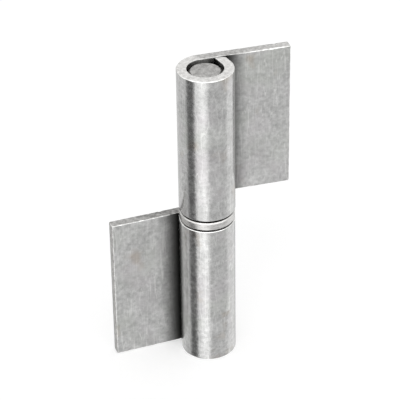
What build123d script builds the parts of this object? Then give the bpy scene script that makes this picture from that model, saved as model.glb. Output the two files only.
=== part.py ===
from build123d import *
import os
from math import cos, radians, sin

# Weld-on barrel hinge, flag pattern: two leaves, each cut from one strip of mild steel and rolled
# at one end into a knuckle, stand one above the other on a plain pin, with a washer between them.
#
# Frame: millimetres, +Z up along the pin's axis, origin on that axis at the foot of the lower
# knuckle. The lower leaf points to -X and its weld face, tangent to the knuckle, looks to +Y.

# ---- strip and leaves ----
STRIP_THICKNESS = 3.0
STRIP_WIDTH = 45.0        # which is the height of each leaf and of its knuckle
UPPER_LEAF_REACH = 26.2   # from the pin's axis to the leaf's free end
LOWER_LEAF_REACH = 27.0
UPPER_FOOT_RELIEF = 0.9   # trimmed off the upper leaf's foot, so that only its knuckle bears
EDGE_BREAK = 0.35         # chamfer knocked off the cut edges all round
FREE_END_RADIUS = 0.4     # upright corners of the leaf's free end

# ---- rolled knuckle ----
ROLL_PAST_SIDE = 14.5     # degrees that the bend goes on past the knuckle's leaf side
SEAM_GAP = 0.15           # left between the strip's rolled-in end and its own leaf
TAIL_CORNER_RADIUS = 1.0  # rolled-over outer corner of the strip's end

# ---- pin ----
PIN_DIAMETER = 10.0
PIN_CHAMFER = 1.0
PIN_TOP_RECESS = 0.8      # pin's top under the upper knuckle's rim
PIN_FOOT_RECESS = 0.8     # pin's foot above the lower knuckle's rim
PIN_RUNNING_CLEARANCE = 0.08   # radial, upper knuckle on the pin; the lower one is rolled on tight

# ---- thrust washer ----
WASHER_THICKNESS = 3.0
WASHER_RIM_SETBACK = 0.05      # inside the lower knuckle's outline
WASHER_EDGE_CHAMFER = 0.4
WASHER_BORE_CLEARANCE = 0.1    # radial
WASHER_FACE_CLEARANCE = 0.25   # to the knuckle's end, above and below

# ---- how the hinge stands ----
REST_FOLD = 4.4           # degrees that the upper leaf is swung forward of flat

# ---- derived ----
pin_radius = PIN_DIAMETER / 2
lower_bore_radius = pin_radius
upper_bore_radius = pin_radius + PIN_RUNNING_CLEARANCE
washer_radius = lower_bore_radius + STRIP_THICKNESS - WASHER_RIM_SETBACK
washer_foot = STRIP_WIDTH + WASHER_FACE_CLEARANCE
upper_foot = washer_foot + WASHER_THICKNESS + WASHER_FACE_CLEARANCE
hinge_height = upper_foot + STRIP_WIDTH


def rolled_section(bore_radius, reach):
    """Strip seen along the pin: a flat leaf to +X that turns tangent into a round knuckle.

    The strip's end stays straight, as rolls can't bend it, and butts on the leaf's own face.
    """
    outer_radius = bore_radius + STRIP_THICKNESS
    turn = radians(ROLL_PAST_SIDE)
    seam_y = bore_radius - SEAM_GAP

    def tail_line(radius):
        """Straight run on from where the bend of this radius ends, as far as the seam."""
        start = (radius * cos(turn), radius * sin(turn))
        length = (seam_y - start[1]) / cos(turn)
        return Line(start, (start[0] - length * sin(turn), seam_y))

    sweep = 270 + ROLL_PAST_SIDE
    weld_face = Line((reach, outer_radius), (0, outer_radius))
    outer_roll = CenterArc((0, 0), outer_radius, 90, sweep)
    outer_tail = tail_line(outer_radius)
    inner_tail = tail_line(bore_radius)
    inner_roll = CenterArc((0, 0), bore_radius, 90, sweep)
    front_face = Line((0, bore_radius), (reach, bore_radius))
    strip_end = Line(outer_tail @ 1, inner_tail @ 1)
    leaf_end = Line(front_face @ 1, weld_face @ 0)
    knuckle = [outer_roll, outer_tail, strip_end, inner_tail, inner_roll]
    section = make_face([weld_face, *knuckle, front_face, leaf_end])

    tail_corner = section.vertices().sort_by_distance(outer_tail @ 1)[0]
    return fillet(tail_corner, TAIL_CORNER_RADIUS)


def foot_trim(bore_radius, reach, relief):
    """Stock cut from the foot of the flat leaf, sloping up where it leaves the knuckle."""
    outer_radius = bore_radius + STRIP_THICKNESS
    side = Polyline(
        (outer_radius, 0), (outer_radius + relief, relief), (reach, relief), (reach, 0), close=True
    )
    return extrude(Plane.XZ * make_face(side), -outer_radius)


def rolled_leaf(bore_radius, reach, foot_relief=0.0):
    """One leaf with its knuckle, standing on z = 0, its edges knocked off."""
    leaf = extrude(rolled_section(bore_radius, reach), STRIP_WIDTH)
    if foot_relief:
        leaf -= foot_trim(bore_radius, reach, foot_relief)
    end_corners = leaf.edges().filter_by(Axis.Z).group_by(Axis.X)[-1]
    leaf = fillet(end_corners, FREE_END_RADIUS)
    cut_faces = leaf.faces().filter_by(lambda face: abs(face.normal_at().Z) > 0.5)
    return chamfer(cut_faces.edges(), EDGE_BREAK)


def lower_leaf():
    """The same rolled leaf turned over, so that it points to -X; its knuckle grips the pin."""
    leaf = rolled_leaf(lower_bore_radius, LOWER_LEAF_REACH)
    return Pos(0, 0, STRIP_WIDTH) * Rot(0, 180, 0) * leaf


def upper_leaf():
    """The leaf that turns on the pin, swung a little forward of flat."""
    leaf = rolled_leaf(upper_bore_radius, UPPER_LEAF_REACH, UPPER_FOOT_RELIEF)
    return Pos(0, 0, upper_foot) * Rot(0, 0, -REST_FOLD) * leaf


def hinge_pin():
    """Plain round bar with chamfered ends, sunk a little below both knuckle rims."""
    length = hinge_height - PIN_TOP_RECESS - PIN_FOOT_RECESS
    bar = Cylinder(pin_radius, length, align=(Align.CENTER, Align.CENTER, Align.MIN))
    bar = chamfer(bar.edges().filter_by(GeomType.CIRCLE), PIN_CHAMFER)
    return Pos(0, 0, PIN_FOOT_RECESS) * bar


def thrust_washer():
    """Ring between the knuckles that carries the upper leaf's weight."""
    ring = Circle(washer_radius) - Circle(pin_radius + WASHER_BORE_CLEARANCE)
    ring = extrude(ring, WASHER_THICKNESS)
    ring = chamfer(ring.edges().filter_by(GeomType.CIRCLE), WASHER_EDGE_CHAMFER)
    return Pos(0, 0, washer_foot) * ring


os.makedirs("parts", exist_ok=True)
export_step(lower_leaf(), "parts/lower_leaf.step")
export_step(upper_leaf(), "parts/upper_leaf.step")
export_step(hinge_pin(), "parts/hinge_pin.step")
export_step(thrust_washer(), "parts/thrust_washer.step")
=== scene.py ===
"""Weld-on barrel hinge: two flag leaves of rolled steel flat, their pin and a thrust washer."""
import bpy
import math
from mathutils import Matrix, Vector


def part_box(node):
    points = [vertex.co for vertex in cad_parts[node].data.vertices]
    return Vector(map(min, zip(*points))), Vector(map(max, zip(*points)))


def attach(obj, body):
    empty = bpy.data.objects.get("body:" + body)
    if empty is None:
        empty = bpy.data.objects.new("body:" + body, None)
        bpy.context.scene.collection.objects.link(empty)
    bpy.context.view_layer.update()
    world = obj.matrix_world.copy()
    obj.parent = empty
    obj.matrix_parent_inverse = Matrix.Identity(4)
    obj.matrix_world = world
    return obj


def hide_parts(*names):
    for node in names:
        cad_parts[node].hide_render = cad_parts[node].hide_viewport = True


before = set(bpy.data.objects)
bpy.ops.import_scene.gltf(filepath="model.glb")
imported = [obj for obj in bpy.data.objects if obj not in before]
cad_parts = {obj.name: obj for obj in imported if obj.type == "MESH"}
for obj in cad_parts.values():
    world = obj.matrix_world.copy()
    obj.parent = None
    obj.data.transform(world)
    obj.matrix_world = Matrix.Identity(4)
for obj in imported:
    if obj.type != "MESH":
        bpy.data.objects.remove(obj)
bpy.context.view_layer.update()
scene = bpy.context.scene


# ==== Studio ==================================================================================
# The hinge stands on a clear sheet in a light tent. One wall of the tent, in front and a little
# to the left, is lit most; beside it the tent's slit leaves a dark stripe in everything round.

MM = 0.001
CAMERA_AZIMUTH = -19.85        # degrees round from the front, to the left
CAMERA_ELEVATION = 32.77
CAMERA_ROLL = -0.875
CAMERA_DISTANCE = 576.9 * MM
CAMERA_SHIFT = (-2.63 * MM, 42.65 * MM)  # sideways and up across the view, from the origin
CAMERA_LENS = 174.2                      # in mm, on a sensor 36 mm wide
CAMERA_CLIP = (0.01, 20)


def aim_camera():
    """A long lens that looks down on the hinge from the front left."""
    azimuth, elevation = math.radians(CAMERA_AZIMUTH), math.radians(CAMERA_ELEVATION)
    level = math.cos(elevation)
    back = Vector((math.sin(azimuth) * level, -math.cos(azimuth) * level, math.sin(elevation)))
    right = (-back).cross(Vector((0, 0, 1))).normalized()
    up = right.cross(-back)
    turn = Matrix.Rotation(math.radians(CAMERA_ROLL), 3, back)
    right, up = turn @ right, turn @ up
    camera = bpy.data.objects.new("camera", bpy.data.cameras.new("camera"))
    scene.collection.objects.link(camera)
    axes = Matrix((right, up, back)).transposed()
    place = back * CAMERA_DISTANCE + right * CAMERA_SHIFT[0] + up * CAMERA_SHIFT[1]
    camera.matrix_world = Matrix.Translation(place) @ axes.to_4x4()
    camera.data.lens = CAMERA_LENS
    camera.data.clip_start, camera.data.clip_end = CAMERA_CLIP
    scene.camera = camera


def add(tree, kind, *inputs, **settings):
    """Adds one node. Inputs go to its sockets in order, or by name or number as one dict."""
    node = tree.nodes.new(kind)
    for name, value in settings.items():
        setattr(node, name, value)
    by_name = inputs and isinstance(inputs[0], dict)
    for key, value in inputs[0].items() if by_name else enumerate(inputs):
        if isinstance(value, bpy.types.Node):
            value = next(socket for socket in value.outputs if socket.enabled)
        if isinstance(value, bpy.types.NodeSocket):
            tree.links.new(value, node.inputs[key])
        else:
            node.inputs[key].default_value = value
    return node


# Brightness of the tent's walls, against the angle round from the camera to the right.
TENT_WALLS = (
    (-180, 1.05), (-86, 1.05), (-76, 0.24), (-52, 0.24), (-40, 1.55), (-24, 1.85), (-8, 2.10),
    (2, 1.75), (12, 1.02), (84, 1.00), (94, 1.40), (140, 1.40), (160, 0.70), (180, 1.05),
)
TENT_ROOF_BACK, TENT_ROOF_FRONT = 1.30, 2.60
TENT_ROOF_FADE = (-0.3, 0.3)       # shares of the way from back to front over which it changes
TENT_ROOF_EDGE = (0.10, 0.45)      # sines of the heights over which the walls turn into roof


def light_tent():
    """Soft light from all round: plain white to the eye, walls and slit to the steel."""
    world = bpy.data.worlds.new("light tent")
    scene.world = world
    world.use_nodes = True
    world.cycles.sampling_method = "NONE"
    tree = world.node_tree
    tree.nodes.clear()
    way = add(tree, "ShaderNodeTexCoord").outputs["Generated"]
    turned = add(tree, "ShaderNodeVectorRotate",
                 {"Vector": way, "Angle": math.radians(90 - CAMERA_AZIMUTH)},
                 rotation_type="Z_AXIS")
    parts = add(tree, "ShaderNodeSeparateXYZ", turned).outputs
    angle = add(tree, "ShaderNodeMath", parts["Y"], parts["X"], operation="ARCTAN2")
    share = add(tree, "ShaderNodeMath", angle, 0.5 / math.pi, 0.5, operation="MULTIPLY_ADD")
    walls = add(tree, "ShaderNodeValToRGB", share)
    brightest = max(level for _, level in TENT_WALLS)
    for angle_round, _ in TENT_WALLS[1:-1]:
        walls.color_ramp.elements.new((angle_round + 180) / 360)
    for stop, (_, level) in zip(walls.color_ramp.elements, TENT_WALLS):
        stop.color = (level / brightest,) * 3 + (1,)
    wall = add(tree, "ShaderNodeMath", walls, brightest, operation="MULTIPLY")
    roof = add(tree, "ShaderNodeMapRange",
               {"Value": parts["X"], "From Min": TENT_ROOF_FADE[0],
                "From Max": TENT_ROOF_FADE[1],
                "To Min": TENT_ROOF_BACK, "To Max": TENT_ROOF_FRONT})
    height = add(tree, "ShaderNodeMapRange",
                 {"Value": parts["Z"], "From Min": TENT_ROOF_EDGE[0],
                  "From Max": TENT_ROOF_EDGE[1]}, interpolation_type="SMOOTHSTEP")
    tent = add(tree, "ShaderNodeMix", {0: height, 2: wall, 3: roof})
    mirrored = add(tree, "ShaderNodeLightPath").outputs["Is Glossy Ray"]
    strength = add(tree, "ShaderNodeMix", {0: mirrored, 2: 1.0, 3: tent})
    glow = add(tree, "ShaderNodeBackground", {"Strength": strength})
    add(tree, "ShaderNodeOutputWorld", glow)


def softbox(name, place, aim, size, level):
    """A soft square lamp; its level is its brightness against white."""
    lamp = bpy.data.lights.new(name, "AREA")
    lamp.size = size
    lamp.energy = level * size * size * math.pi
    holder = bpy.data.objects.new(name, lamp)
    scene.collection.objects.link(holder)
    way = Vector(aim) - Vector(place)
    turn = way.to_track_quat("-Z", "Y").to_matrix().to_4x4()
    holder.matrix_world = Matrix.Translation(place) @ turn


SOFTBOX_PLACE = (-0.25, -0.45, 0.75)
SOFTBOX_AIM = (0, 0, 0.05)
SOFTBOX_SIZE = 0.35
SOFTBOX_LEVEL = 1.6

FLOOR_SIZE = 6.0
FLOOR_GREY = 0.80
FLOOR_LIFT = 0.36     # what the eye sees over the floor's own light, which brings it to white


def clear_floor():
    """A plain white floor that takes the hinge's soft shadow and isn't mirrored in the steel."""
    half = FLOOR_SIZE / 2
    mesh = bpy.data.meshes.new("floor")
    corners = [(-half, -half, 0), (half, -half, 0), (half, half, 0), (-half, half, 0)]
    mesh.from_pydata(corners, [], [(0, 1, 2, 3)])
    floor = bpy.data.objects.new("floor", mesh)
    scene.collection.objects.link(floor)
    floor.visible_glossy = False
    paint = bpy.data.materials.new("white floor")
    paint.use_nodes = True
    tree = paint.node_tree
    tree.nodes.clear()
    matt = add(tree, "ShaderNodeBsdfDiffuse", {"Color": (FLOOR_GREY,) * 3 + (1,)})
    seen = add(tree, "ShaderNodeLightPath").outputs["Is Camera Ray"]
    lift = add(tree, "ShaderNodeMath", seen, FLOOR_LIFT, operation="MULTIPLY")
    glow = add(tree, "ShaderNodeEmission", {"Strength": lift})
    both = add(tree, "ShaderNodeAddShader", matt, glow)
    add(tree, "ShaderNodeOutputMaterial", both)
    mesh.materials.append(paint)


aim_camera()
light_tent()
softbox("front softbox", SOFTBOX_PLACE, SOFTBOX_AIM, SOFTBOX_SIZE, SOFTBOX_LEVEL)
clear_floor()
scene.view_settings.view_transform = "Standard"


# ==== Leaves ==================================================================================
# Each leaf is one length of hot-rolled and pickled mild steel flat, cropped at both ends and
# rolled round a mandrel into a knuckle. The rims of its cropped faces are knocked off, worn
# bright and nicked from tumbling in a bin with its fellows, and lightened further by a painted
# highlight.

STRIP_THICKNESS = 3.0 * MM
STRIP_WIDTH = 45.0 * MM
ROLL_PAST_SIDE = math.radians(14.5)     # the bend goes on this far past the leaf's side
ROLL_SWEEP = 1.5 * math.pi + ROLL_PAST_SIDE
SEAM_GAP = 0.15 * MM
FREE_END_RADIUS = 0.4 * MM
TAIL_CORNER_RADIUS = 1.0 * MM
INNER_CORNER_RADIUS = 0.12 * MM
RIM_RADIUS = 0.36 * MM
WORN_THROUGH = 0.25 * RIM_RADIUS         # steel lost at which a rim is fully bright
WEAR_SPACING = 2.2 * MM
NICK_SPACING = 1.1 * MM
NICK_DEPTH = 0.3 * MM
NICK_SHARE = (0.62, 0.8)                 # noise levels at which a nick starts and is full
WAVINESS = 0.03 * MM
WAVE_SPACING = 6 * MM
ON_FACE = 0.9999                         # share of the half size past which a point is on a face
ROLL_FADE = (-1.0 * MM, 2.0 * MM)        # over which the leaf turns into burnished knuckle
GRID = (330, 12, 120)          # points along, through and across the strip
CROWDING = (1.5, -0.5)         # draws the grid's rows together towards the strip's edges
UNBOUNDED = 1.0
# painted shade in the corner beside the knuckle
CORNER_SOOT = (7.2 * MM, 14.0 * MM)     # from the pin's axis, out along the leaf's front face
BORE_SIDE = 5.0 * MM           # the leaf's inner face is the bore's wall as far out as this
# grease and painted shade on the bore's wall, and painted shade in the seam's crease
BORE_SOOT = 0.62
SEAM_SOOT, SEAM_SOOT_WIDTH = 0.85, 0.6 * MM
STAIN_REACH = (24.0 * MM, 9.0 * MM)     # the cropped edge darkens towards the knuckle
STAIN_FAR = 0.65                         # share of the stain and painted shade that is left at the far end


def strip_rule():
    """Geometry Nodes for a flat bar with worn rims that is rolled up at one end.

    A box is rounded off flat and then bent: the leaf stays straight, the roll turns round the
    pin, and the tail runs on straight, as rolls can't bend a strip's last millimetres.
    """
    tree = bpy.data.node_groups.new("rolled strip", "GeometryNodeTree")
    for name in ("Reach", "Bore Radius", "Foot Relief", "Edge Stain", "Seed"):
        tree.interface.new_socket(name, in_out="INPUT", socket_type="NodeSocketFloat")
    tree.interface.new_socket("Steel", in_out="INPUT", socket_type="NodeSocketMaterial")
    tree.interface.new_socket("Leaf", in_out="OUTPUT", socket_type="NodeSocketGeometry")
    given = add(tree, "NodeGroupInput").outputs

    # lengths along the strip's middle: leaf, roll and tail, which runs on to the seam
    middle = add(tree, "ShaderNodeMath", given["Bore Radius"], STRIP_THICKNESS / 2, operation="ADD")
    outer = add(tree, "ShaderNodeMath", given["Bore Radius"], STRIP_THICKNESS, operation="ADD")
    seam = add(tree, "ShaderNodeMath", given["Bore Radius"], SEAM_GAP, operation="SUBTRACT")
    roll = add(tree, "ShaderNodeMath", middle, ROLL_SWEEP, operation="MULTIPLY")
    rise = add(tree, "ShaderNodeMath", middle, -math.sin(ROLL_PAST_SIDE), seam,
               operation="MULTIPLY_ADD")
    tail = add(tree, "ShaderNodeMath", rise, math.cos(ROLL_PAST_SIDE), operation="DIVIDE")
    bent = add(tree, "ShaderNodeMath", roll, tail, operation="ADD")
    length = add(tree, "ShaderNodeMath", given["Reach"], bent, operation="ADD")
    half_length = add(tree, "ShaderNodeMath", length, 0.5, operation="MULTIPLY")
    half = add(tree, "ShaderNodeCombineXYZ", half_length, STRIP_THICKNESS / 2, STRIP_WIDTH / 2)

    # the flat bar: x along, y through towards the outer face, z across
    box = add(tree, "GeometryNodeMeshCube", (2, 2, 2), *GRID)
    even = add(tree, "GeometryNodeInputPosition")
    square = add(tree, "ShaderNodeVectorMath", even, even, operation="MULTIPLY")
    crowd = add(tree, "ShaderNodeVectorMath", square, (CROWDING[1],) * 3, (CROWDING[0],) * 3,
                operation="MULTIPLY_ADD")
    spread = add(tree, "ShaderNodeVectorMath", even, crowd, operation="MULTIPLY")
    flat = add(tree, "ShaderNodeVectorMath", spread, half, operation="MULTIPLY")

    # radius of the rims: uneven wear all along, and a nick here and there
    by_side = add(tree, "ShaderNodeVectorMath", flat, (1, 0.3, 1), operation="MULTIPLY")
    wear = add(tree, "ShaderNodeTexNoise",
               {"Vector": by_side, "W": given["Seed"], "Scale": 1 / WEAR_SPACING, "Detail": 3.0},
               noise_dimensions="4D")
    nicks = add(tree, "ShaderNodeTexNoise",
                {"Vector": by_side, "W": given["Seed"], "Scale": 1 / NICK_SPACING, "Detail": 1.0},
                noise_dimensions="4D")
    nick = add(tree, "ShaderNodeMapRange",
               {"Value": nicks, "From Min": NICK_SHARE[0], "From Max": NICK_SHARE[1],
                "To Max": NICK_DEPTH})
    uneven = add(tree, "ShaderNodeMath", wear, RIM_RADIUS, RIM_RADIUS / 2,
                 operation="MULTIPLY_ADD")
    rim = add(tree, "ShaderNodeMath", uneven, nick, operation="ADD")

    # rims: what stands out past a core, smaller by the radius all round, is drawn onto a circle
    rims = add(tree, "ShaderNodeCombineXYZ", rim, rim, rim)
    core = add(tree, "ShaderNodeVectorMath", half, rims, operation="SUBTRACT")
    far_core = add(tree, "ShaderNodeVectorMath", core, (-1, -1, -1), operation="MULTIPLY")
    under = add(tree, "ShaderNodeVectorMath", flat, core, operation="MINIMUM")
    inside = add(tree, "ShaderNodeVectorMath", under, far_core, operation="MAXIMUM")
    proud = add(tree, "ShaderNodeVectorMath", flat, inside, operation="SUBTRACT")
    sizes = add(tree, "ShaderNodeSeparateXYZ",
                add(tree, "ShaderNodeVectorMath", proud, operation="ABSOLUTE")).outputs
    sideways = add(tree, "ShaderNodeMath", sizes["X"], sizes["Y"], operation="MAXIMUM")
    reach_out = add(tree, "ShaderNodeVectorMath",
                    add(tree, "ShaderNodeCombineXYZ", sideways, sizes["Z"], 0.0),
                    operation="LENGTH")
    draw_in = add(tree, "ShaderNodeMath", rim, reach_out.outputs["Value"], operation="DIVIDE")
    drawn = add(tree, "ShaderNodeVectorMath", {0: proud, "Scale": draw_in}, operation="SCALE")
    rounded = add(tree, "ShaderNodeVectorMath", inside, drawn, operation="ADD")

    # upright corners: small at the free end and inside the tail, large outside the tail
    along = add(tree, "ShaderNodeSeparateXYZ", rounded).outputs
    at_tail = add(tree, "ShaderNodeMath", along["X"], 0.0, operation="GREATER_THAN")
    outside = add(tree, "ShaderNodeMath", along["Y"], 0.0, operation="GREATER_THAN")
    tail_corner = add(tree, "ShaderNodeMix",
                      {0: outside, 2: INNER_CORNER_RADIUS, 3: TAIL_CORNER_RADIUS})
    corner = add(tree, "ShaderNodeMix", {0: at_tail, 2: FREE_END_RADIUS, 3: tail_corner})
    corners = add(tree, "ShaderNodeCombineXYZ", corner, corner, -UNBOUNDED)
    post = add(tree, "ShaderNodeVectorMath", half, corners, operation="SUBTRACT")
    far_post = add(tree, "ShaderNodeVectorMath", post, (-1, -1, -1), operation="MULTIPLY")
    short = add(tree, "ShaderNodeVectorMath", rounded, post, operation="MINIMUM")
    within = add(tree, "ShaderNodeVectorMath", short, far_post, operation="MAXIMUM")
    over = add(tree, "ShaderNodeVectorMath", rounded, within, operation="SUBTRACT")
    over_sizes = add(tree, "ShaderNodeSeparateXYZ",
                     add(tree, "ShaderNodeVectorMath", over, operation="ABSOLUTE")).outputs
    larger = add(tree, "ShaderNodeMath", over_sizes["X"], over_sizes["Y"], operation="MAXIMUM")
    over_length = add(tree, "ShaderNodeVectorMath", over, operation="LENGTH").outputs["Value"]
    some = add(tree, "ShaderNodeMath", over_length, 1e-9, operation="MAXIMUM")
    ease = add(tree, "ShaderNodeMath", larger, some, operation="DIVIDE")
    eased = add(tree, "ShaderNodeVectorMath", {0: over, "Scale": ease}, operation="SCALE")
    bar = add(tree, "ShaderNodeVectorMath", within, eased, operation="ADD")

    # what the steel's finish needs: place in the flat strip, cropped faces, worn rims with painted
    # highlight
    lost = add(tree, "ShaderNodeVectorMath", flat, bar, operation="DISTANCE").outputs["Value"]
    worn = add(tree, "ShaderNodeMath", lost, WORN_THROUGH, operation="DIVIDE")
    even_parts = add(tree, "ShaderNodeSeparateXYZ", even).outputs
    ends = add(tree, "ShaderNodeVectorMath", even, operation="ABSOLUTE")
    end_sizes = add(tree, "ShaderNodeSeparateXYZ", ends).outputs
    furthest = add(tree, "ShaderNodeMath", end_sizes["X"], end_sizes["Z"], operation="MAXIMUM")
    cropped = add(tree, "ShaderNodeMath", furthest, ON_FACE, operation="GREATER_THAN")
    placed = add(tree, "ShaderNodeVectorMath", bar, half, operation="ADD")
    inner_face = add(tree, "ShaderNodeMath", even_parts["Y"], -ON_FACE, operation="LESS_THAN")

    # bend: turn by as much of the roll as lies behind each point, straight on before and after
    parts = add(tree, "ShaderNodeSeparateXYZ", placed).outputs
    radius = add(tree, "ShaderNodeMath", parts["Y"], given["Bore Radius"], operation="ADD")
    past = add(tree, "ShaderNodeMath", parts["X"], given["Reach"], operation="SUBTRACT")
    rolled = add(tree, "ShaderNodeClamp", past, 0.0, roll)
    beyond = add(tree, "ShaderNodeMath", past, rolled, operation="SUBTRACT")
    own_rise = add(tree, "ShaderNodeMath", radius, -math.sin(ROLL_PAST_SIDE), seam,
                   operation="MULTIPLY_ADD")
    stretch = add(tree, "ShaderNodeMath", own_rise, rise, operation="DIVIDE")
    tail_run = add(tree, "ShaderNodeMath", beyond, 0.0, operation="MAXIMUM")
    leaf_run = add(tree, "ShaderNodeMath", beyond, 0.0, operation="MINIMUM")
    run = add(tree, "ShaderNodeMath", tail_run, stretch, leaf_run, operation="MULTIPLY_ADD")
    ahead = add(tree, "ShaderNodeMath", run, -1.0, operation="MULTIPLY")
    turn = add(tree, "ShaderNodeMath", rolled, middle, operation="DIVIDE")

    # foot relief: the leaf's foot slopes up where it leaves the knuckle
    clear = add(tree, "ShaderNodeMath", ahead, outer, operation="SUBTRACT")
    relief = add(tree, "ShaderNodeClamp", clear, 0.0, given["Foot Relief"])
    left = add(tree, "ShaderNodeMath", relief, -1 / STRIP_WIDTH, 1.0, operation="MULTIPLY_ADD")
    height = add(tree, "ShaderNodeMath", parts["Z"], left, relief, operation="MULTIPLY_ADD")

    unrolled = add(tree, "ShaderNodeCombineXYZ", ahead, radius, height)
    place = add(tree, "ShaderNodeVectorRotate", {"Vector": unrolled, "Angle": turn},
                rotation_type="Z_AXIS")

    # the knuckle is burnished by its rolls; painted shade darkens the corner beside it and its
    # seam, grease and painted shade darken its bore, and the leaf's cropped edge gets a streaky
    # stain with painted shade that grows towards the knuckle
    on_roll = add(tree, "ShaderNodeMapRange",
                  {"Value": past, "From Min": ROLL_FADE[0], "From Max": ROLL_FADE[1]})
    soot = add(tree, "ShaderNodeMapRange",
               {"Value": ahead, "From Min": CORNER_SOOT[1], "From Max": CORNER_SOOT[0]},
               interpolation_type="SMOOTHSTEP")
    in_bore = add(tree, "ShaderNodeMath", ahead, BORE_SIDE, operation="LESS_THAN")
    depth_of_soot = add(tree, "ShaderNodeMix", {0: in_bore, 2: soot, 3: BORE_SOOT})
    on_face = add(tree, "ShaderNodeMath", depth_of_soot, inner_face, operation="MULTIPLY")
    to_end = add(tree, "ShaderNodeMath", length, parts["X"], operation="SUBTRACT")
    at_seam = add(tree, "ShaderNodeMapRange",
                  {"Value": to_end, "From Min": SEAM_SOOT_WIDTH, "From Max": 0.0,
                   "To Max": SEAM_SOOT})
    sooty = add(tree, "ShaderNodeMath", on_face, at_seam, operation="MAXIMUM")
    near_knuckle = add(tree, "ShaderNodeMapRange",
                       {"Value": ahead, "From Min": STAIN_REACH[0], "From Max": STAIN_REACH[1],
                        "To Min": STAIN_FAR})
    edge = add(tree, "ShaderNodeMath", cropped, on_roll, operation="SUBTRACT", use_clamp=True)
    stained = add(tree, "ShaderNodeMath",
                  add(tree, "ShaderNodeMath", near_knuckle, given["Edge Stain"],
                      operation="MULTIPLY"), edge, operation="MULTIPLY")

    known = box.outputs["Mesh"]
    for name, kind, value in (("strip", "FLOAT_VECTOR", placed), ("cropped", "FLOAT", cropped),
                              ("worn", "FLOAT", worn), ("rolled", "FLOAT", on_roll),
                              ("sooty", "FLOAT", sooty), ("stained", "FLOAT", stained)):
        known = add(tree, "GeometryNodeStoreNamedAttribute",
                    {"Geometry": known, "Name": name, "Value": value}, data_type=kind)
    bent_over = add(tree, "GeometryNodeSetPosition", {"Geometry": known, "Position": place})
    formed = add(tree, "GeometryNodeFlipFaces", bent_over)   # bending mirrors the box

    # rolls leave the faces very slightly wavy, always inwards here, so that the fits stay
    wave_place = add(tree, "GeometryNodeInputPosition")
    waves = add(tree, "ShaderNodeTexNoise",
                {"Vector": wave_place, "W": given["Seed"], "Scale": 1 / WAVE_SPACING,
                 "Detail": 2.0},
                noise_dimensions="4D")
    depth = add(tree, "ShaderNodeMath", waves, -WAVINESS, operation="MULTIPLY")
    inwards = add(tree, "ShaderNodeVectorMath",
                  {0: add(tree, "GeometryNodeInputNormal"), "Scale": depth}, operation="SCALE")
    waved = add(tree, "GeometryNodeSetPosition", {"Geometry": formed, "Offset": inwards})
    smooth = add(tree, "GeometryNodeSetShadeSmooth", waved)
    real = add(tree, "GeometryNodeRealizeInstances", smooth)
    steel = add(tree, "GeometryNodeSetMaterial", {"Geometry": real, "Material": given["Steel"]})
    add(tree, "NodeGroupOutput", steel)
    return tree


def plain_mesh(name, tree, inputs, turn):
    """Runs the rule with these inputs and keeps the result as a mesh, turned into its place."""
    source = bpy.data.objects.new(name, bpy.data.meshes.new(name + "_source"))
    scene.collection.objects.link(source)
    rule = source.modifiers.new("rule", "NODES")
    rule.node_group = tree
    for item in tree.interface.items_tree:
        if item.in_out == "INPUT":
            rule[item.identifier] = inputs[item.name]
    graph = bpy.context.evaluated_depsgraph_get()
    mesh = bpy.data.meshes.new_from_object(source.evaluated_get(graph),
                                           preserve_all_data_layers=True, depsgraph=graph)
    source.modifiers.clear()
    source.data = mesh
    mesh.name = name
    mesh.transform(turn)
    return source


def linear(hex_colour):
    """An sRGB hex colour as the linear colour that Blender works in."""
    shares = [int(hex_colour[place:place + 2], 16) / 255 for place in (1, 3, 5)]
    return [x / 12.92 if x <= 0.04045 else ((x + 0.055) / 1.055) ** 2.4 for x in shares] + [1.0]


def patches(tree, place, spot, size, levels, amounts):
    """Patches of about this size: nothing below the first noise level, full past the second."""
    noise = add(tree, "ShaderNodeTexNoise",
                {"Vector": place, "W": spot, "Scale": 1 / size, "Detail": 2.0},
                noise_dimensions="4D")
    return add(tree, "ShaderNodeMapRange",
               {"Value": noise, "From Min": levels[0], "From Max": levels[1],
                "To Min": amounts[0], "To Max": amounts[1]})


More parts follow.
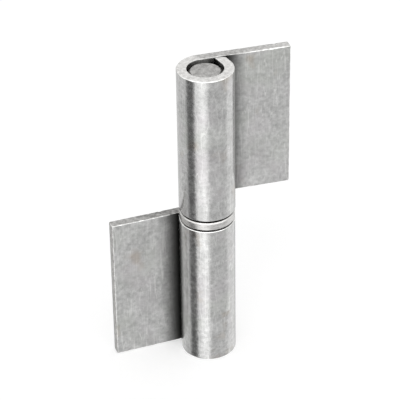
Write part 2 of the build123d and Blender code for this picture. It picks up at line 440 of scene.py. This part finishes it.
def pickled_steel():
    """Hot-rolled mild steel, pickled and tumbled: a soft grey sheen with clouds of lighter and
    darker grey, a faint green and pink cast in places, hairline scratches, and rims worn
    bright, with a painted highlight on them. The rolled part is burnished, so that it mirrors the
    room in long bands."""
    steel = bpy.data.materials.new("pickled steel")
    steel.use_nodes = True
    tree = steel.node_tree
    tree.nodes.clear()
    place = add(tree, "ShaderNodeTexCoord").outputs["Object"]
    strip = add(tree, "ShaderNodeAttribute", attribute_name="strip").outputs["Vector"]
    cropped = add(tree, "ShaderNodeAttribute", attribute_name="cropped").outputs["Fac"]
    worn = add(tree, "ShaderNodeAttribute", attribute_name="worn").outputs["Fac"]
    rolled = add(tree, "ShaderNodeAttribute", attribute_name="rolled").outputs["Fac"]
    sooty = add(tree, "ShaderNodeAttribute", attribute_name="sooty").outputs["Fac"]
    stained = add(tree, "ShaderNodeAttribute", attribute_name="stained").outputs["Fac"]

    # patterns: clouds of oxide, the mottle that pickling leaves, and its grain, drawn coarser
    clouds = add(tree, "ShaderNodeTexNoise",
                 {"Vector": place, "Scale": 1 / (6 * MM), "Detail": 5.0, "Roughness": 0.65})
    mottle = add(tree, "ShaderNodeTexNoise",
                 {"Vector": place, "Scale": 1 / (1.1 * MM), "Detail": 4.0, "Roughness": 0.6})
    grain = add(tree, "ShaderNodeTexNoise",
                {"Vector": place, "Scale": 1 / (0.45 * MM), "Detail": 2.0})
    scored = add(tree, "ShaderNodeMapping",
                 {"Vector": strip, "Rotation": (0, math.radians(35), 0), "Scale": (1, 1, 0.08)})
    score_noise = add(tree, "ShaderNodeTexNoise",
                      {"Vector": scored, "Scale": 1 / (1.6 * MM), "Detail": 1.0})
    off_line = add(tree, "ShaderNodeMath", score_noise, 0.5, 0.012, operation="COMPARE")

    # colour
    light = add(tree, "ShaderNodeMix", {0: clouds, 6: linear("#9C9C9B"), 7: linear("#DADAD9")},
                data_type="RGBA")
    speck = add(tree, "ShaderNodeMapRange",
                {"Value": mottle, "From Min": 0.3, "From Max": 0.7, "To Min": 0.76,
                 "To Max": 1.18})
    flecked = add(tree, "ShaderNodeVectorMath", {0: light, "Scale": speck}, operation="SCALE")
    tint = patches(tree, place, 3.0, 11 * MM, (0.5, 0.7), (0.0, 0.35))
    green = add(tree, "ShaderNodeMix", {0: tint, 6: flecked, 7: linear("#BEC2BA")},
                data_type="RGBA")
    blush = patches(tree, place, 9.0, 9 * MM, (0.5, 0.7), (0.0, 0.35))
    pink = add(tree, "ShaderNodeMix", {0: blush, 6: green, 7: linear("#C2BCC0")},
               data_type="RGBA")
    rust = patches(tree, place, 17.0, 7 * MM, (0.62, 0.76), (0.0, 0.4))
    bloomed = add(tree, "ShaderNodeMix", {0: rust, 6: pink, 7: linear("#A3937F")},
                  data_type="RGBA")
    hairline = add(tree, "ShaderNodeMath", off_line, 0.3, operation="MULTIPLY")
    scratched = add(tree, "ShaderNodeMix", {0: hairline, 6: bloomed, 7: linear("#E8E8E6")},
                    data_type="RGBA")
    torn = add(tree, "ShaderNodeMapRange",
               {"Value": mottle, "From Min": 0.35, "From Max": 0.65})
    crop = add(tree, "ShaderNodeMix", {0: torn, 6: linear("#C6C5C3"), 7: linear("#E9E8E6")},
               data_type="RGBA")
    cut = add(tree, "ShaderNodeMix", {0: cropped, 6: scratched, 7: crop}, data_type="RGBA")
    # the cropped edge: a streaky stain, with painted shade that grows towards the knuckle
    dark_streak = add(tree, "ShaderNodeMapRange",
                      {"Value": torn, "To Min": 1.0, "To Max": 0.7})
    stain = add(tree, "ShaderNodeMath", stained, dark_streak, operation="MULTIPLY")
    grimy = add(tree, "ShaderNodeMix", {0: stain, 6: cut, 7: linear("#4E4D4B")},
                data_type="RGBA")
    # worn rims: bright bare steel, lightened further to a near-white painted highlight
    patchy = patches(tree, place, 5.0, 1.7 * MM, (0.42, 0.60), (0.10, 0.9))
    rim_wear = add(tree, "ShaderNodeMath", worn, patchy, operation="MULTIPLY", use_clamp=True)
    bright = add(tree, "ShaderNodeMix", {0: rim_wear, 6: grimy, 7: linear("#F0F0EE")},
                 data_type="RGBA")
    # painted shade in the corner beside the knuckle and in the seam, grease and painted shade in
    # the bore
    corner = add(tree, "ShaderNodeMix", {0: sooty, 6: bright, 7: linear("#2A2A29")},
                 data_type="RGBA")

    # gloss: the flat leaf is dull, the roll is burnished, the worn rims are polished
    dull = add(tree, "ShaderNodeMapRange",
               {"Value": mottle, "From Min": 0.3, "From Max": 0.7, "To Min": 0.34,
                "To Max": 0.46})
    burnished = add(tree, "ShaderNodeMapRange",
                    {"Value": mottle, "From Min": 0.3, "From Max": 0.7, "To Min": 0.14,
                     "To Max": 0.26})
    gloss = add(tree, "ShaderNodeMix", {0: rolled, 2: dull, 3: burnished})
    cut_gloss = add(tree, "ShaderNodeMix", {0: cropped, 2: gloss, 3: 0.42})
    polish = add(tree, "ShaderNodeMix", {0: rim_wear, 2: cut_gloss, 3: 0.24})
    height = add(tree, "ShaderNodeMath", grain, 0.35, mottle, operation="MULTIPLY_ADD")
    bump = add(tree, "ShaderNodeBump", {"Height": height, "Distance": 0.03 * MM,
                                        "Strength": 1.0})
    surface = add(tree, "ShaderNodeBsdfPrincipled",
                  {"Base Color": corner, "Metallic": 1.0, "Roughness": polish,
                   "Normal": bump})
    add(tree, "ShaderNodeOutputMaterial", surface)
    return steel


LOWER_REACH = 27.0 * MM
UPPER_REACH = 26.2 * MM
UPPER_FOOT_RELIEF = 0.9 * MM
PIN_RADIUS = 5.0 * MM
RUNNING_CLEARANCE = 0.08 * MM
REST_FOLD = math.radians(4.4)       # the upper leaf is swung this far forward of flat

rolled_strip = strip_rule()
leaf_steel = pickled_steel()
upper_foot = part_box("upper_leaf")[0].z

# the lower leaf's cropped edge gets more stain and painted shade than the upper's
lower = plain_mesh("lower_rolled_leaf", rolled_strip,
                   {"Reach": LOWER_REACH, "Bore Radius": PIN_RADIUS, "Foot Relief": 0.0,
                    "Edge Stain": 0.85, "Seed": 2.0, "Steel": leaf_steel},
                   Matrix.Translation((0, 0, STRIP_WIDTH)) @ Matrix.Rotation(math.pi, 4, "Y"))
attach(lower, "lower")
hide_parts("lower_leaf")

upper = plain_mesh("upper_rolled_leaf", rolled_strip,
                   {"Reach": UPPER_REACH, "Bore Radius": PIN_RADIUS + RUNNING_CLEARANCE,
                    "Foot Relief": UPPER_FOOT_RELIEF, "Edge Stain": 0.45, "Seed": 5.0,
                    "Steel": leaf_steel},
                   Matrix.Translation((0, 0, upper_foot)) @ Matrix.Rotation(-REST_FOLD, 4, "Z"))
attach(upper, "upper")
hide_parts("upper_leaf")


# ==== Pin =====================================================================================
# A length of drawn round bar, cropped and chamfered. The lower knuckle is rolled tight on it, the
# upper one turns on it, and its dull cropped top shows a little way down the upper bore.

PIN_CHAMFER = 0.85 * MM
PIN_EDGE = 0.15 * MM      # radius to which the chamfer's rims are worn
AROUND = 192              # facets round a turned piece
CORNER_POINTS = 7         # points round each of its rounded edges
SHARP_ANGLE = math.radians(35)


def rounded_corner(corner, before, after, radius):
    """Points of the arc that rounds off one corner of an outline, given by radius and height."""
    corner, before, after = Vector(corner), Vector(before), Vector(after)
    back, on = (before - corner).normalized(), (after - corner).normalized()
    half_angle = back.angle(on) / 2
    centre = corner + (back + on).normalized() * radius / math.sin(half_angle)
    first = corner + back * radius / math.tan(half_angle) - centre
    last = corner + on * radius / math.tan(half_angle) - centre
    sweep = first.angle_signed(last)
    return [centre + Matrix.Rotation(-sweep * step / (CORNER_POINTS - 1), 2) @ first
            for step in range(CORNER_POINTS)]


def turned_piece(name, outline, radii, steel):
    """Turns an outline, (radius, height) pairs that run up the outside, round the pin's axis.

    An outline that starts and ends on the axis makes a bar, any other closes into a ring.
    """
    points = []
    for place, (corner, radius) in enumerate(zip(outline, radii)):
        before, after = outline[place - 1], outline[(place + 1) % len(outline)]
        points += (rounded_corner(corner, before, after, radius) if radius
                   else [Vector(corner)])
    is_bar = outline[0][0] == 0
    ring = points[1:-1] if is_bar else points
    vertices = [(point.x * math.cos(angle), point.x * math.sin(angle), point.y)
                for point in ring
                for angle in (math.tau * step / AROUND for step in range(AROUND))]
    rows = len(ring) - 1 if is_bar else len(ring)
    faces = []
    for row in range(rows):
        low, high = row * AROUND, (row + 1) % len(ring) * AROUND
        for step in range(AROUND):
            near = (step + 1) % AROUND
            faces.append((low + step, low + near, high + near, high + step))
    if is_bar:
        faces.append(tuple(reversed(range(AROUND))))
        faces.append(tuple(range((len(ring) - 1) * AROUND, len(ring) * AROUND)))
    mesh = bpy.data.meshes.new(name)
    mesh.from_pydata(vertices, [], faces)
    mesh.shade_smooth()
    mesh.set_sharp_from_angle(angle=SHARP_ANGLE)
    mesh.materials.append(steel)
    piece = bpy.data.objects.new(name, mesh)
    scene.collection.objects.link(piece)
    return piece


def turned_steel(name, dark, pale, gloss, streak, grease=()):
    """Bar steel with a fine mottle; streak draws the mottle out into lines round the piece.

    Each (clean, black) pair of heights in the last argument gives a dark line of painted shade
    between them.
    """
    steel = bpy.data.materials.new(name)
    steel.use_nodes = True
    tree = steel.node_tree
    tree.nodes.clear()
    place = add(tree, "ShaderNodeTexCoord").outputs["Object"]
    drawn = add(tree, "ShaderNodeMapping", {"Vector": place, "Scale": (1, 1, streak)})
    mottle = add(tree, "ShaderNodeTexNoise",
                 {"Vector": drawn, "Scale": 1 / (1.4 * MM), "Detail": 5.0, "Roughness": 0.65})
    grain = add(tree, "ShaderNodeTexNoise",
                {"Vector": drawn, "Scale": 1 / (0.4 * MM), "Detail": 2.0})
    both = add(tree, "ShaderNodeMath", grain, 0.4, mottle, operation="MULTIPLY_ADD")
    share = add(tree, "ShaderNodeMapRange", {"Value": both, "From Min": 0.5, "From Max": 0.9})
    colour = add(tree, "ShaderNodeMix", {0: share, 6: linear(dark), 7: linear(pale)},
                 data_type="RGBA")
    height = add(tree, "ShaderNodeSeparateXYZ", place).outputs["Z"]
    # dark lines of painted shade round the piece, where it meets the knuckles
    for clean, black in grease:
        line = add(tree, "ShaderNodeMapRange",
                   {"Value": height, "From Min": clean, "From Max": black, "To Max": 0.92})
        colour = add(tree, "ShaderNodeMix", {0: line, 6: colour, 7: linear("#22211F")},
                     data_type="RGBA")
    dull = add(tree, "ShaderNodeMapRange",
               {"Value": mottle, "From Min": 0.3, "From Max": 0.7, "To Min": gloss,
                "To Max": gloss + 0.12})
    bump = add(tree, "ShaderNodeBump", {"Height": both, "Distance": 0.03 * MM, "Strength": 1.0})
    surface = add(tree, "ShaderNodeBsdfPrincipled",
                  {"Base Color": colour, "Metallic": 1.0, "Roughness": dull, "Normal": bump})
    add(tree, "ShaderNodeOutputMaterial", surface)
    return steel


pin_low, pin_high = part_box("hinge_pin")
pin_outline = [(0, pin_low.z), (PIN_RADIUS - PIN_CHAMFER, pin_low.z),
               (PIN_RADIUS, pin_low.z + PIN_CHAMFER), (PIN_RADIUS, pin_high.z - PIN_CHAMFER),
               (PIN_RADIUS - PIN_CHAMFER, pin_high.z), (0, pin_high.z)]
# cropped drawn bar: dull and evenly mottled, a shade darker than the leaves' cropped edges
bar_steel = turned_steel("cropped bar steel", "#8E8D8B", "#C4C3C1", 0.36, 1.0)
pin = turned_piece("drawn_bar_pin", pin_outline, [0, *[PIN_EDGE] * 4, 0], bar_steel)
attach(pin, "lower")
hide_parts("hinge_pin")


# ==== Washer ==================================================================================
# A loose ring turned from bar and tumbled with the leaves, so that its edges are well rounded. It
# lies in the shadow between the knuckles, and a dark line of painted shade runs round it above and
# below.

WASHER_BORE_CLEARANCE = 0.1 * MM
WASHER_WEAR = (0.15 * MM, 0.30 * MM)    # off its foot and its top
WASHER_EDGES = (0.40 * MM, 0.85 * MM)   # radius of the outer edges at the foot and at the top
WASHER_BORE_EDGE = 0.30 * MM
GREASE = (0.24 * MM, 0.12 * MM)         # clean steel and black painted shade, from its foot and top

washer_low, washer_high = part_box("thrust_washer")
washer_foot, washer_top = washer_low.z + WASHER_WEAR[0], washer_high.z - WASHER_WEAR[1]
washer_bore = PIN_RADIUS + WASHER_BORE_CLEARANCE
washer_outline = [(washer_bore, washer_foot), (washer_high.x, washer_foot),
                  (washer_high.x, washer_top), (washer_bore, washer_top)]
grease_lines = ((washer_foot + GREASE[0], washer_foot + GREASE[1]),
                (washer_top - GREASE[0], washer_top - GREASE[1]))
# turned and tumbled bar: brighter than the leaves, with fine lines round it from the tool
washer_steel = turned_steel("turned washer steel", "#A9A8A6", "#DEDDDB", 0.24, 5.0,
                            grease_lines)
washer = turned_piece("turned_washer", washer_outline,
                      [WASHER_BORE_EDGE, *WASHER_EDGES, WASHER_BORE_EDGE], washer_steel)
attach(washer, "washer")
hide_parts("thrust_washer")
